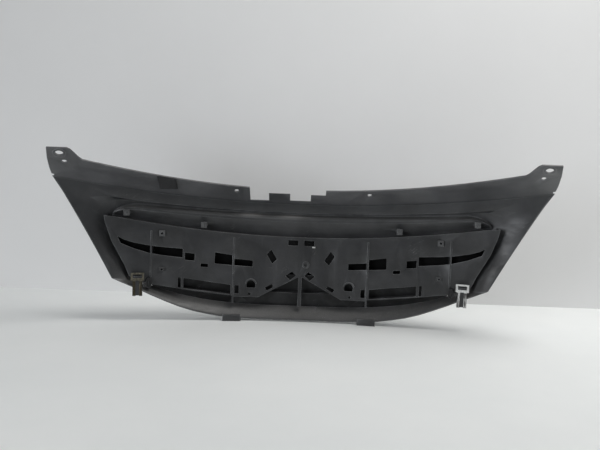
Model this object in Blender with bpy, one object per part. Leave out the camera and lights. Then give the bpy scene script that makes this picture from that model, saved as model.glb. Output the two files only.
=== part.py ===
"""Front grille of a passenger car, in the posture it has on a workbench.

X runs across the car to its right, Y forwards to the road and Z up. The origin is on
the mid-plane, on the fold where the top flange meets the face, because the grille
hangs from that edge. Outlines are drawn in millimetres above the two lower feet, and
every piece is first made as if the grille were straight, then swept back with the
same curve, so neighbours keep their clearance.
"""
import math

import bmesh
import bpy
from mathutils import Matrix, Vector

MM = 0.001

# Overall sizes. The drawing below is stretched to them.
OVERALL_WIDTH = 966 * MM
OVERALL_HEIGHT = 341.5 * MM
END_SWEEP = 102.7 * MM          # how far the ends lie behind the middle
HALF_DRAWN = 483.0
DRAWN_HEIGHT = 341.5

# Walls and clearances, millimetres.
PANEL_WALL = 2.8
BAR_WALL = 2.5
INSERT_WALL = 2.5
LOUVRE_WALL = 2.4
BLADE_WALL = 2.0
RIB_WALL = 3.0
SKIRT_WALL = 2.2
STRIP_INSET = 0.4
GAP = 0.3

# Depth of each layer, millimetres; plus is towards the road.
SEAT_DEPTH = 7.0                # rear face of the surround round its window
INSERT_REAR = -16.0
BAR_FOOT = 1.0                  # where the insert's skirt lands on the upper bar
BOSS_REAR = -14.2
BOSS_FRONT = -2.0
LOUVRE_REAR = 1.0
BLADE_REAR = -9.0
BLADE_FRONT = 6.0
BADGE_REAR = 9.0
TRIM_REAR = 11.0

# Surround panel.
FOLD_Z = 240.0
FLANGE_LEAN = 1.30              # rearward run of the flange for each millimetre of rise
EAR_START = 418.0
EAR_RISE = 20.0                 # run of the curve from the flange up to the ear
EAR_TOP = DRAWN_HEIGHT
EAR_TUCK = 9.0                  # the ear's outer top corner lies this far inboard
TUCK_POWER = 2.2
EDGE_ROLL = 5.0
EAR_HOLE = (454.0, 332.5)
EAR_HOLE_RADIUS = 7.4
EAR_PIN_HOLE = (450.5, 316.5)
EAR_PIN_HOLE_RADIUS = 4.6
EAR_BOSS_RADIUS = 12.0
EAR_BOSS_PROUD = 0.8
FLANGE_HOLE = (133.5, 267.0)
FLANGE_HOLE_RADIUS = 4.6
FOOT_X = 137.5
FOOT_WIDTH = 36.0
FOOT_HEIGHT = 13.0
FOOT_DEPTHS = (-31.0, -21.0)
TONGUE_X = 323.0
TONGUE_WIDTH = 18.0
TONGUE_WALL = 2.5
TONGUE_REAR = -27.0
TONGUE_SPAN = (53.0, 92.0)

# Studs and the square nuts pushed onto them.
STUD_RADIUS = 2.0
STUD_HOLE_CLEARANCE = 0.6
NUT_SIZE = 12.0
NUT_THICKNESS = 5.0
NUT_GRIP_CLEARANCE = 0.15
STUD_PROUD = 1.0
BOSS_RADIUS = 5.5
TRIM_STUDS = ((347.0, 218.0), (198.0, 195.0))
LOUVRE_STUD_UPPER = (279.0, 177.0)
LOUVRE_STUD_LOWER = (279.0, 104.0)
FLAT_NUT_THICKNESS = 3.0

# Spring clip that slides up onto the tongue.
CLIP_STEEL = 1.0
CLIP_HEAD = (25.0, 16.0)
CLIP_HEAD_TOP = 99.0
CLIP_LEG_WIDTH = 5.5
CLIP_WINDOW = (17.0, 8.0)
CLIP_FRONT_TOP = 58.5

# Badge.
BADGE_CENTRE = (0.0, 122.0)
BADGE_HALF = (76.0, 62.0)
BADGE_PLATE = 8.0
BADGE_DOME = 8.0
BADGE_RIM = 6.0
LEG_CLEARANCE = 2.4
LEG_END_INSIDE = 2.0

# Foam pad on the left of the flange, and the rubber buffers.
PAD_SPAN_X = (-285.0, -250.0)
PAD_FOOT_Z = 266.0               # its top follows the flange's free edge
PAD_EDGE = 1.0
PAD_THICKNESS = 6.4
PAD_GAP = 1.0                    # measured straight back, as the thickness is
BUFFER_AT = (303.0, 77.0)
BUFFER_SIZE = (12.0, 20.0)
BUFFER_THICKNESS = 9.0
BUFFER_TO_RIB = 1.0              # the rib above a buffer starts this far over it

# Openings in the insert, right-hand side, as drawn.
INSERT_OPENINGS = {
    "long_slot": [(238.5, 127.5), (277, 132), (303, 136.5), (333, 146), (358, 157),
                  (364, 171), (351, 164), (333, 158), (303, 152), (277, 149), (238.5, 146)],
    "end_slot": [(215, 121), (234.5, 123), (235, 138.5), (215, 136)],
    "middle_slot": [(139.5, 113), (175.5, 116), (175, 139.5), (139.5, 134)],
    "inner_slot": [(98, 110.5), (135.5, 113), (135.5, 127), (98, 123.5)],
    "tiny_slot": [(188.5, 108), (203, 109), (203, 116), (188.5, 115)],
    "lower_slot": [(142, 52.8), (236.5, 64.8), (236.5, 85.8), (142, 72.4)],
    "lower_slot_end": [(241.5, 65.4), (247.5, 66.2), (247.5, 87.5), (241.5, 86.7)],
    "tower_window": [(125, 54), (134, 54.5), (134, 72), (125, 71.5)],
    "side_diamond": [(61, 148), (69.5, 137), (58.5, 118), (48.5, 127.5)],
    "upper_slot": [(6.5, 168), (26.5, 168), (26.5, 157), (6.5, 157)],
    "low_diamond": [(16.5, 103), (30.5, 94), (20.5, 84.6), (8.5, 94.5)],
    "bottom_slot": [(58, 76), (72, 68), (67.5, 61.8), (53.5, 69.8)],
}
ARCH = (100.5, 67.0, 18.0, 16.0)     # centre x, foot z, width, height
PIN_HOLE = (103.0, 54.0)
PIN_HOLE_RADIUS = 3.0
BEND_STEP = 40 * MM
ROUND_SIDES = 14

STRETCH_X = OVERALL_WIDTH / (2 * HALF_DRAWN * MM)
STRETCH_Z = OVERALL_HEIGHT / (DRAWN_HEIGHT * MM)
HALF_WIDTH = OVERALL_WIDTH / 2


# ---------------------------------------------------------------- drawing curves
def fold_line(x):
    """Height of the fold between flange and face."""
    return FOLD_Z + 46 * (x / HALF_DRAWN) ** 2


def free_edge(x):
    """Height of the flange's free edge, with the raised ear at each end."""
    edge = 271 + 52 * (x / 430) ** 2
    return mix(edge, EAR_TOP, smooth((abs(x) - EAR_START) / EAR_RISE))


def bar_top(x):
    """Upper edge of the upper bar, which is rounded at its ends."""
    x = abs(x)
    if x < 330:
        return 219 + 14 * (x / 330) ** 2
    return 208 + 25 * math.sqrt(max(0.0, 1 - ((x - 330) / 48) ** 2))


def window_top(x):
    """Upper edge of the surround's window, under the upper bar."""
    if x < 330:
        return bar_top(x) - 7
    return 208 + 18 * math.sqrt(max(0.0, 1 - ((x - 330) / 40) ** 2))


def insert_top(x):
    return 174 + 40 * (x / 388) ** 2


def rail_foot(x):
    """Lower edge of the insert's bottom rail."""
    return 44 + 27 * (x / 283) ** 2


def lip_top(x):
    return 29 + 41 * (abs(x) / 304) ** 3


def lip_foot(x):
    return along([(0, 5), (100, 5.5), (156, 9), (200, 17), (230, 25), (262, 38), (296, 54),
                  (323, 68)], abs(x))


def wing_depth(z):
    """Depth of the wing's outer edge, which tucks rearwards towards the bottom."""
    return -22 * ((288 - z) / 200) ** 2


def along(points, x):
    """Height at x on a line through the points."""
    for (x0, z0), (x1, z1) in zip(points, points[1:]):
        if x <= x1:
            return z0 + (z1 - z0) * (x - x0) / (x1 - x0)
    return points[-1][1]


def walk(points, share):
    """Point at a share of the length of a line through the points."""
    lengths = [math.dist(a, b) for a, b in zip(points, points[1:])]
    left = share * sum(lengths)
    for (a, b), length in zip(zip(points, points[1:]), lengths):
        if left <= length:
            return mix(a, b, left / length)
        left -= length
    return points[-1]


def mix(a, b, share):
    """Blend two numbers or two equally long lists."""
    if isinstance(a, (list, tuple)):
        return [mix(p, q, share) for p, q in zip(a, b)]
    return a + (b - a) * share


def smooth(value):
    value = min(1.0, max(0.0, value))
    return value * value * (3 - 2 * value)


# ---------------------------------------------------------------- solids
def at(x, y, z):
    """Metres in the part's frame, from drawn millimetres; depth is not stretched."""
    return Vector((x * STRETCH_X * MM, y * MM, (z - FOLD_Z) * STRETCH_Z * MM))


def true_ring(x, z, radius, sides=ROUND_SIDES, radius_z=None):
    """Outline of a round or oval that keeps its real size when the drawing is stretched."""
    radius_z = radius if radius_z is None else radius_z
    turns = [math.tau * (i + 0.5) / sides for i in range(sides)]
    return [(x + radius * math.cos(a) / STRETCH_X, z + radius_z * math.sin(a) / STRETCH_Z)
            for a in turns]


def true_box(x, z, width, height):
    """Corners of a rectangle of real size round a drawn centre."""
    w = width / 2 / STRETCH_X
    h = height / 2 / STRETCH_Z
    return [(x - w, z - h), (x + w, z - h), (x + w, z + h), (x - w, z + h)]


def mirrored(outline):
    return [(-x, z) for x, z in reversed(outline)]


def both_sides(outlines):
    return [*outlines, *[mirrored(o) for o in outlines]]


def prism(outline, y0, y1, holes=()):
    """Closed plate between two depths, from an outline with holes."""
    bm = bmesh.new()
    rings = []
    edges = []
    for loop in [outline, *holes]:
        ring = [bm.verts.new(at(x, y0, z)) for x, z in loop]
        rings.append(ring)
        edges += [bm.edges.new((ring[i - 1], ring[i])) for i in range(len(ring))]
    filled = bmesh.ops.triangle_fill(bm, use_beauty=True, edges=edges)["geom"]
    faces = [g for g in filled if isinstance(g, bmesh.types.BMFace)]
    shift = Vector((0, (y1 - y0) * MM, 0))
    far = {v: bm.verts.new(v.co + shift) for ring in rings for v in ring}
    for face in faces:
        bm.faces.new([far[v] for v in reversed(face.verts)])
    for ring in rings:
        for i in range(len(ring)):
            bm.faces.new((ring[i - 1], ring[i], far[ring[i]], far[ring[i - 1]]))
    bmesh.ops.recalc_face_normals(bm, faces=bm.faces)
    return bm


def tube_along_x(sections):
    """Closed bar through equally long rings of (x, y, z) points."""
    bm = bmesh.new()
    rings = [[bm.verts.new(at(*p)) for p in ring] for ring in sections]
    for a, b in zip(rings, rings[1:]):
        for i in range(len(a)):
            bm.faces.new((a[i - 1], a[i], b[i], b[i - 1]))
    bm.faces.new(rings[0])
    bm.faces.new(rings[-1])
    bmesh.ops.recalc_face_normals(bm, faces=bm.faces)
    return bm


def box(x_span, y_span, z_span):
    (x0, x1), (z0, z1) = x_span, z_span
    return prism([(x0, z0), (x1, z0), (x1, z1), (x0, z1)], *y_span)


def stud(x, z, y0, y1, radius):
    return prism(true_ring(x, z, radius), y0, y1)


def as_object(bm, name):
    mesh = bpy.data.meshes.new(name)
    bm.to_mesh(mesh)
    bm.free()
    obj = bpy.data.objects.new(name, mesh)
    bpy.context.scene.collection.objects.link(obj)
    return obj


def evaluated(obj):
    """Mesh of an object with its modifiers, as a new bmesh; the object is removed."""
    depsgraph = bpy.context.evaluated_depsgraph_get()
    mesh = bpy.data.meshes.new_from_object(obj.evaluated_get(depsgraph))
    bm = bmesh.new()
    bm.from_mesh(mesh)
    bpy.data.objects.remove(obj)
    return bm


def combine(base, tools, operation):
    """Fuse or cut with the exact Boolean, one tool after another."""
    for tool in tools:
        obj = as_object(base, "blank")
        helper = as_object(tool, "tool")
        modifier = obj.modifiers.new("shape", "BOOLEAN")
        modifier.operation = operation
        modifier.solver = "EXACT"
        modifier.object = helper
        base = evaluated(obj)
        bpy.data.objects.remove(helper)
        bmesh.ops.remove_doubles(base, verts=base.verts, dist=1e-6)
        bmesh.ops.triangulate(base, faces=base.faces)
    return base


def fuse(base, *tools):
    return combine(base, tools, "UNION")


def cut(base, *tools):
    return combine(base, tools, "DIFFERENCE")


def thicken(bm, wall):
    """Give a rear skin its wall, on the side towards the road."""
    if sum(f.normal.y * f.calc_area() for f in bm.faces) > 0:
        bmesh.ops.reverse_faces(bm, faces=bm.faces)
    obj = as_object(bm, "sheet")
    modifier = obj.modifiers.new("wall", "SOLIDIFY")
    modifier.thickness = wall * MM
    modifier.offset = -1
    modifier.use_even_offset = True
    return evaluated(obj)


def sweep(x):
    """How far a point at x lies behind the middle."""
    return -END_SWEEP * (x / HALF_WIDTH) ** 2


def bend(bm, divide=True):
    """Cut a straight solid into short lengths and sweep it back."""
    if divide:
        span = [v.co.x for v in bm.verts]
        first = math.ceil(min(span) / BEND_STEP)
        last = math.floor(max(span) / BEND_STEP)
        for i in range(first, last + 1):
            bmesh.ops.bisect_plane(bm, geom=[*bm.verts, *bm.edges, *bm.faces], dist=1e-7,
                                   plane_co=(i * BEND_STEP, 0, 0), plane_no=(1, 0, 0))
    for v in bm.verts:
        v.co.y += sweep(v.co.x)
    return bm


def finish(bm, name, colour, roughness, metallic=0.0):
    """Clean a solid, and make it a named object with its material."""
    bmesh.ops.remove_doubles(bm, verts=bm.verts, dist=1e-6)
    bmesh.ops.dissolve_degenerate(bm, edges=bm.edges, dist=1e-6)
    bmesh.ops.triangulate(bm, faces=bm.faces)
    bmesh.ops.recalc_face_normals(bm, faces=bm.faces)
    obj = as_object(bm, name)
    obj.data.shade_smooth()
    obj.data.set_sharp_from_angle(angle=math.radians(35))
    material = bpy.data.materials.new(name)
    material.use_nodes = True
    shader = material.node_tree.nodes["Principled BSDF"]
    shader.inputs["Base Color"].default_value = (*colour, 1)
    shader.inputs["Roughness"].default_value = roughness
    shader.inputs["Metallic"].default_value = metallic
    obj.data.materials.append(material)
    return obj


BLACK_PLASTIC = ((0.035, 0.036, 0.038), 0.55)
DEEP_BLACK = ((0.012, 0.012, 0.013), 0.6)
BRIGHT_METAL = ((0.62, 0.62, 0.63), 0.22, 1.0)
YELLOW_ZINC = ((0.33, 0.28, 0.16), 0.42, 1.0)
RUBBER = ((0.018, 0.018, 0.019), 0.85)
FOAM = ((0.028, 0.028, 0.03), 0.95)


# ---------------------------------------------------------------- surround panel
FOLD_STATIONS = [0, 40, 80, 120, 160, 200, 240, 280, 320, 360, 400, 425.9, 431,
                 436.1, 441.2, 446.4, HALF_DRAWN]
TOP_SHARES = [0, 0.2, 0.36, 0.385, 0.9, 1]
SIDE_SHARES = [0, 0.13, 0.27, 0.45, 0.95, 1]
LIP_SHARES = [0, 0.2, 0.45, 0.7, 0.9, 1]
TOP_DEPTHS = [SEAT_DEPTH, SEAT_DEPTH, SEAT_DEPTH, -1, -0.3, 0]
LIP_DEPTHS = [-2, -6, -13, -20, -24.5, -26]
WINDOW_SIDE = [(367, 214.8), (373, 200), (364, 160), (341, 114), (331, 92), (324, 80)]
WING_EDGE = [(HALF_DRAWN, 286), (372, 88)]
LOWER_WING_EDGE = [(372, 88), (323, 68)]
FLANGE_NOTCHES = [(-107, 248), (-69, 248), (-69, 264), (-26, 264), (-26, 249), (16, 249),
                  (16, 263), (46, 263), (46, 300), (-107, 300)]
CORNER_NOTCH = [(479.5, 288.2), (492, 287.2), (492, 294.5), (478.5, 290.6)]
SIDE_START = 380.0              # from here the ring turns into the wing
SIDE_STEPS = 7
LOWER_STEPS = 3
LIP_STEPS = 12


def side_depths(edge_depth, roll):
    seat = SEAT_DEPTH
    return [seat, seat, seat, mix(seat, edge_depth, 0.7), edge_depth, edge_depth + roll]


def half_ring():
    """Stations round the window, from top centre down the right side to bottom centre."""
    stations = []
    for x in FOLD_STATIONS:
        turn = smooth((x - SIDE_START) / (HALF_DRAWN - SIDE_START))
        inner_x = WINDOW_SIDE[0][0] * x / HALF_DRAWN
        depths = mix(TOP_DEPTHS, side_depths(0, 0), turn)
        stations.append(((inner_x, window_top(inner_x)), (x, fold_line(x)),
                         mix(TOP_SHARES, SIDE_SHARES, turn), depths))
    for step in range(1, SIDE_STEPS + 1):
        share = step / SIDE_STEPS
        outer = walk(WING_EDGE, share)
        stations.append((walk(WINDOW_SIDE, share), outer, SIDE_SHARES,
                         side_depths(wing_depth(outer[1]), EDGE_ROLL * (1 - share))))
    side_end = side_depths(wing_depth(WING_EDGE[-1][1]), 0)
    for step in range(1, LOWER_STEPS + 1):
        share = step / LOWER_STEPS
        inner = walk([WINDOW_SIDE[-1], (304, lip_top(304))], share)
        stations.append((inner, walk(LOWER_WING_EDGE, share),
                         mix(SIDE_SHARES, LIP_SHARES, share), mix(side_end, LIP_DEPTHS, share)))
    for step in range(1, LIP_STEPS + 1):
        left = 1 - step / LIP_STEPS
        stations.append(((304 * left, lip_top(304 * left)), (323 * left, lip_foot(323 * left)),
                         LIP_SHARES, LIP_DEPTHS))
    return stations


def surround_skin():
    """Rear skin of the surround: a ring round the window, and the flange above it."""
    half = half_ring()
    flip = [((-i[0], i[1]), (-o[0], o[1]), s, d) for i, o, s, d in half[1:-1]]
    ring = [*half, *reversed(flip)]
    bm = bmesh.new()
    rows = []
    for inner, outer, shares, depths in ring:
        spots = [mix(inner, outer, s) for s in shares]
        rows.append([bm.verts.new(at(x, y, z)) for (x, z), y in zip(spots, depths)])
    for a, b in zip(rows, [*rows[1:], rows[0]]):
        for i in range(len(a) - 1):
            bm.faces.new((a[i], b[i], b[i + 1], a[i + 1]))

    count = len(FOLD_STATIONS)
    order = [*range(len(ring) - count + 1, len(ring)), *range(count)]
    columns = []
    for index in order:
        x = ring[index][1][0]
        top_x = x * (1 - EAR_TUCK / HALF_DRAWN)
        low, high = fold_line(x), free_edge(top_x)
        column = [rows[index][-1]]
        for share in (1 / 3, 2 / 3, 1):
            z = mix(low, high, share)
            column.append(bm.verts.new(at(mix(x, top_x, share ** TUCK_POWER),
                                          -FLANGE_LEAN * (z - low), z)))
        columns.append(column)
    for a, b in zip(columns, columns[1:]):
        for i in range(3):
            bm.faces.new((a[i], a[i + 1], b[i + 1], b[i]))
    bmesh.ops.recalc_face_normals(bm, faces=bm.faces)
    return bm


def flange_depth(x, z):
    """Depth of the flange's rear face, following the columns it is made of."""
    root = x
    for _ in range(5):
        low, high = fold_line(root), free_edge(root * (1 - EAR_TUCK / HALF_DRAWN))
        share = max(0.0, (z - low) / (high - low))
        root = x / (1 - EAR_TUCK / HALF_DRAWN * share ** TUCK_POWER)
    return -FLANGE_LEAN * (z - fold_line(root))


def flange_spot(x, z):
    """Point on the flange's rear face, swept back, in metres."""
    spot = at(x, flange_depth(x, z), z)
    spot.y += sweep(spot.x)
    return spot


def flange_frame(x, z):
    """Centre and direction out of the flange's rear face."""
    across = flange_spot(x + 2, z) - flange_spot(x - 2, z)
    up = flange_spot(x, z + 2) - flange_spot(x, z - 2)
    normal = across.cross(up).normalized()
    return flange_spot(x, z), normal if normal.y < 0 else -normal


def flange_pin(x, z, radius, below, above, sides=24):
    """Cylinder square to the flange, from below its rear face to above it."""
    spot, normal = flange_frame(x, z)
    bm = bmesh.new()
    bmesh.ops.create_cone(bm, cap_ends=True, segments=sides, radius1=radius * MM,
                          radius2=radius * MM, depth=(above + below) * MM)
    turn = normal.to_track_quat("Z", "Y").to_matrix().to_4x4()
    centre = spot + normal * ((above - below) / 2 * MM)
    bmesh.ops.transform(bm, matrix=Matrix.Translation(centre) @ turn, verts=bm.verts)
    return bm


def tongue(side):
    """Tongue and its root, which carry one spring clip."""
    half = TONGUE_WIDTH / 2
    x_span = sorted((side * (TONGUE_X - half), side * (TONGUE_X + half)))
    blade = box(x_span, (TONGUE_REAR, TONGUE_REAR + TONGUE_WALL), TONGUE_SPAN)
    root = box(x_span, (TONGUE_REAR + 1, -12), (CLIP_FRONT_TOP + 2, 75))
    return fuse(blade, root)


def surround_panel():
    bm = thicken(surround_skin(), PANEL_WALL)
    feet = []
    for side in (-1, 1):
        x_span = sorted((side * (FOOT_X - FOOT_WIDTH / 2), side * (FOOT_X + FOOT_WIDTH / 2)))
        feet.append(box(x_span, FOOT_DEPTHS, (0, FOOT_HEIGHT)))
    bm = fuse(bm, tongue(1), tongue(-1), *feet)
    notches = [FLANGE_NOTCHES, CORNER_NOTCH, mirrored(CORNER_NOTCH)]
    bm = cut(bm, *[prism(notch, -80, 20) for notch in notches])
    bm = bend(bm, divide=False)
    bosses = [flange_pin(s * EAR_HOLE[0], EAR_HOLE[1], EAR_BOSS_RADIUS, 1.5, EAR_BOSS_PROUD)
              for s in (-1, 1)]
    bm = fuse(bm, *bosses)
    holes = []
    for (x, z), radius in ((EAR_HOLE, EAR_HOLE_RADIUS), (EAR_PIN_HOLE, EAR_PIN_HOLE_RADIUS),
                           (FLANGE_HOLE, FLANGE_HOLE_RADIUS)):
        holes += [flange_pin(s * x, z, radius, 9, 6) for s in (-1, 1)]
    bm = cut(bm, *holes)
    return finish(bm, "surround_panel", *BLACK_PLASTIC)


# ---------------------------------------------------------------- upper bar
BAR_STATIONS = [0, 40, 80, 120, 160, 200, 240, 280, 310, 335, 350, 360, 368, 374, 377]
BAR_ROWS = [(0.07, -9.5), (0.18, -13), (0.32, -13.5), (0.58, -6), (1, BAR_FOOT)]
BAR_LIP = 2.0
BAR_UNDERLAP = 6.0


def bar_column(x):
    """Rear face of the upper bar at one station, from its lip down behind the insert."""
    rest = SEAT_DEPTH - GAP - BAR_WALL
    top = bar_top(x)
    foot = insert_top(x) + 1
    fall = math.sqrt(max(0.03, 1 - (max(0, abs(x) - 340) / 38) ** 2))
    column = [(x, rest, top + BAR_LIP), (x, rest, top)]
    for share, depth in BAR_ROWS:
        column.append((x, mix(rest, depth, fall), mix(top, foot, share)))
    column.append((x, mix(rest, BAR_FOOT, fall), insert_top(x) - BAR_UNDERLAP))
    return column


def upper_bar():
    stations = sorted({s * x for x in BAR_STATIONS for s in (-1, 1)})
    bm = bmesh.new()
    rows = [[bm.verts.new(at(*p)) for p in bar_column(x)] for x in stations]
    for a, b in zip(rows, rows[1:]):
        for i in range(len(a) - 1):
            bm.faces.new((a[i], b[i], b[i + 1], a[i + 1]))
    bmesh.ops.recalc_face_normals(bm, faces=bm.faces)
    bm = thicken(bm, BAR_WALL)
    spots = [(s * x, z) for x, z in TRIM_STUDS for s in (-1, 1)]
    bm = fuse(bm, *[stud(x, z, BOSS_REAR, BOSS_FRONT, BOSS_RADIUS) for x, z in spots])
    clear = STUD_RADIUS + STUD_HOLE_CLEARANCE
    bm = cut(bm, *[stud(x, z, -40, 20, clear) for x, z in spots])
    return finish(bend(bm, divide=False), "upper_bar", *BLACK_PLASTIC)


# ---------------------------------------------------------------- insert
INSERT_SIDE = [(389, 212), (386, 196), (374, 160), (350, 113), (341, 91), (329, 84), (316, 79),
               (300, 74), (290, 72)]
TOWER_INNER_X = 85.0
TOWER_OUTER_X = 137.0
TOWER_FOOT = 48.0
CARET_TOP = 94.0
CENTRE_RIB_HALF = 3.5
CENTRE_RIB_FOOT = 31.0
OUTER_RIB_X = 300.0
OUTER_RIB_TOP = 182.0
RIB_PROUD = 1.2


def insert_outline():
    """Half outline from top centre, down the right side, to the foot of the centre rib."""
    top = [(x, insert_top(x)) for x in range(0, 361, 40)]
    rail = [(x, rail_foot(x)) for x in (283, 260, 235, 205, 170, 139)]
    slope = (CARET_TOP - TOWER_FOOT) / TOWER_INNER_X
    caret = [(TOWER_OUTER_X, TOWER_FOOT), (TOWER_INNER_X, TOWER_FOOT),
             (CENTRE_RIB_HALF, CARET_TOP - slope * CENTRE_RIB_HALF),
             (CENTRE_RIB_HALF, CENTRE_RIB_FOOT)]
    half = [*top, *INSERT_SIDE, *rail, *caret]
    return [*half, *[(-x, z) for x, z in reversed(half[1:])]]


def arch_outline():
    x, foot, width, height = ARCH
    half = width / 2
    springing = foot + height - half
    turns = [math.pi * i / 8 for i in range(9)]
    return [(x - half, foot), (x + half, foot),
            *[(x + half * math.cos(a), springing + half * math.sin(a)) for a in turns]]


def strip(points, width):
    """Outline of a strip just to the right of a line of points, as it is walked."""
    edges = ([], [])
    for i, point in enumerate(points):
        a = Vector(points[max(0, i - 1)])
        b = Vector(points[min(len(points) - 1, i + 1)])
        direction = (b - a).normalized()
        for edge, inset in zip(edges, (STRIP_INSET, STRIP_INSET + width)):
            edge.append((point[0] + direction.y * inset, point[1] - direction.x * inset))
    return [*edges[0], *reversed(edges[1])]


def hood(side):
    """Half-round eyebrow over a tower's arch."""
    x, foot, width, height = ARCH
    half = width / 2
    springing = foot + height - half
    turns = [math.pi * (0.08 + 0.84 * i / 8) for i in range(9)]
    outer = [(x + (half + 3) * math.cos(a), springing + (half + 3) * math.sin(a)) for a in turns]
    inner = [(x + (half + 0.6) * math.cos(a), springing + (half + 0.6) * math.sin(a))
             for a in reversed(turns)]
    outline = [*outer, *inner]
    return prism(outline if side > 0 else mirrored(outline), INSERT_REAR - 4, INSERT_REAR + 1)


def rib(x, z_span, y_span):
    half = RIB_WALL / 2
    return box((x - half, x + half), y_span, z_span)


def grille_insert():
    clear = STUD_RADIUS + STUD_HOLE_CLEARANCE
    right = [*INSERT_OPENINGS.values(), arch_outline(),
             true_ring(*PIN_HOLE, PIN_HOLE_RADIUS, 10),
             true_ring(*LOUVRE_STUD_UPPER, clear, 10), true_ring(*LOUVRE_STUD_LOWER, clear, 10)]
    bm = prism(insert_outline(), INSERT_REAR, INSERT_REAR + INSERT_WALL, both_sides(right))

    proud = INSERT_REAR - RIB_PROUD
    over_buffer = BUFFER_AT[1] + (BUFFER_SIZE[1] / 2 + BUFFER_TO_RIB) / STRETCH_Z
    reach = LOUVRE_REAR - GAP
    behind_blades = BLADE_REAR - GAP
    additions = []
    side_line = [walk(INSERT_SIDE[:5], i / 6) for i in range(7)]
    top_line = [(x, insert_top(x)) for x in range(-360, 361, 40)]
    skirt = strip(side_line, SKIRT_WALL)
    buried = INSERT_REAR + INSERT_WALL - 1
    additions.append(prism(strip(top_line, SKIRT_WALL), buried, BAR_FOOT - GAP))
    for side in (-1, 1):
        outline = skirt if side > 0 else mirrored(skirt)
        additions.append(prism(outline, buried, SEAT_DEPTH - GAP))
        additions.append(rib(side * TOWER_OUTER_X, (36, 97), (proud, behind_blades)))
        additions.append(rib(side * TOWER_OUTER_X, (98, 170), (proud, reach)))
        additions.append(rib(side * OUTER_RIB_X, (over_buffer, OUTER_RIB_TOP), (proud, reach)))
        additions.append(hood(side))
    additions.append(box((-CENTRE_RIB_HALF + 1, CENTRE_RIB_HALF - 1),
                         (buried, behind_blades), (CENTRE_RIB_FOOT + 0.5, 90)))
    bm = fuse(bm, *additions)
    ring_boss = prism(true_ring(11, 118, 7, 20), INSERT_REAR - 3, INSERT_REAR + 1,
                      [true_ring(11, 118, 4.5, 20)])
    bm = fuse(bm, ring_boss)
    return finish(bend(bm), "grille_insert", *BLACK_PLASTIC)


# ---------------------------------------------------------------- louvres
LOUVRE_SIDE = [(371.5, 182), (370, 170), (366, 158), (341, 108), (336, 98)]
LOUVRE_INNER_X = 92.0
LOUVRE_HEAD = 12.0                   # below the top of the insert
SLAT_DEPTH = 10.0
BLADE_END = 301.0
BLADE_TOP = 95.0
LOUVRE_UNDERLAP = 6.0                # how far the lower louvre reaches behind the lip


def louvre_slat(height):
    """Line of one slat, parallel to the lower edge of the long slot."""
    return [(x, height + 26 * (x / 360) ** 2) for x in range(96, 345, 31)]


def upper_louvre(side, name):
    """Closed louvre panel behind the slots, with three slats on its road side."""
    head = [(x, insert_top(x) - LOUVRE_HEAD) for x in range(92, 369, 46)]
    outline = [(LOUVRE_INNER_X, 98), *head, *LOUVRE_SIDE]
    bm = prism(outline, LOUVRE_REAR, LOUVRE_REAR + LOUVRE_WALL)
    for height in (104, 120, 136):
        line = louvre_slat(height)
        slat = strip(line, LOUVRE_WALL)
        bm = fuse(bm, prism(slat, LOUVRE_REAR + 1, LOUVRE_REAR + LOUVRE_WALL + SLAT_DEPTH))
    nut_end = INSERT_REAR - GAP - NUT_THICKNESS - STUD_PROUD
    flat_end = INSERT_REAR - GAP - FLAT_NUT_THICKNESS - STUD_PROUD
    bm = fuse(bm, stud(*LOUVRE_STUD_UPPER, nut_end, LOUVRE_REAR + 1, STUD_RADIUS),
              stud(*LOUVRE_STUD_LOWER, flat_end, LOUVRE_REAR + 1, STUD_RADIUS))
    if side < 0:
        bmesh.ops.scale(bm, vec=(-1, 1, 1), verts=bm.verts)
        bmesh.ops.reverse_faces(bm, faces=bm.faces)
    return finish(bend(bm), name, *DEEP_BLACK)


def blade_middle(x):
    """Height where the two blades meet, hidden by the rail away from the centre."""
    return rail_foot(x) + 1 + 12.5 * (1 - smooth((abs(x) - 85) / 50))


BLADE_DIP = 12.0
BLADE_DIP_START = 270.0
BLADE_DIP_RUN = 25.0


def blade_top(x):
    """Upper edge of the lower louvre, lowered at its ends to pass under a rib."""
    return BLADE_TOP - BLADE_DIP * smooth((abs(x) - BLADE_DIP_START) / BLADE_DIP_RUN)


def lower_louvre():
    """Closed panel across the foot of the grille, stepped like two broad blades."""
    stations = [BLADE_END * i / 12 for i in range(-12, 13)]
    bm = bmesh.new()
    rows = []
    for x in stations:
        foot, middle = lip_top(x) - LOUVRE_UNDERLAP, blade_middle(x)
        line = [(BLADE_FRONT, foot), (BLADE_FRONT, foot + 4), (BLADE_REAR, middle),
                (BLADE_FRONT, middle - 1), (BLADE_FRONT, middle + 3), (BLADE_REAR, blade_top(x))]
        rows.append([bm.verts.new(at(x, y, z)) for y, z in line])
    for a, b in zip(rows, rows[1:]):
        for i in range(len(a) - 1):
            bm.faces.new((a[i], b[i], b[i + 1], a[i + 1]))
    bmesh.ops.recalc_face_normals(bm, faces=bm.faces)
    bm = thicken(bm, BLADE_WALL)
    return finish(bend(bm, divide=False), "lower_louvre", *DEEP_BLACK)


# ---------------------------------------------------------------- bright trim and nuts
TRIM_STATIONS = [84, 110, 140, 170, 200, 230, 260, 290, 315, 335, 350, 362, 370]
TRIM_SECTION = [(0, 0), (0, 2.5), (0.18, 7), (0.5, 9), (0.82, 7), (1, 2.5), (1, 0)]


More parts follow.
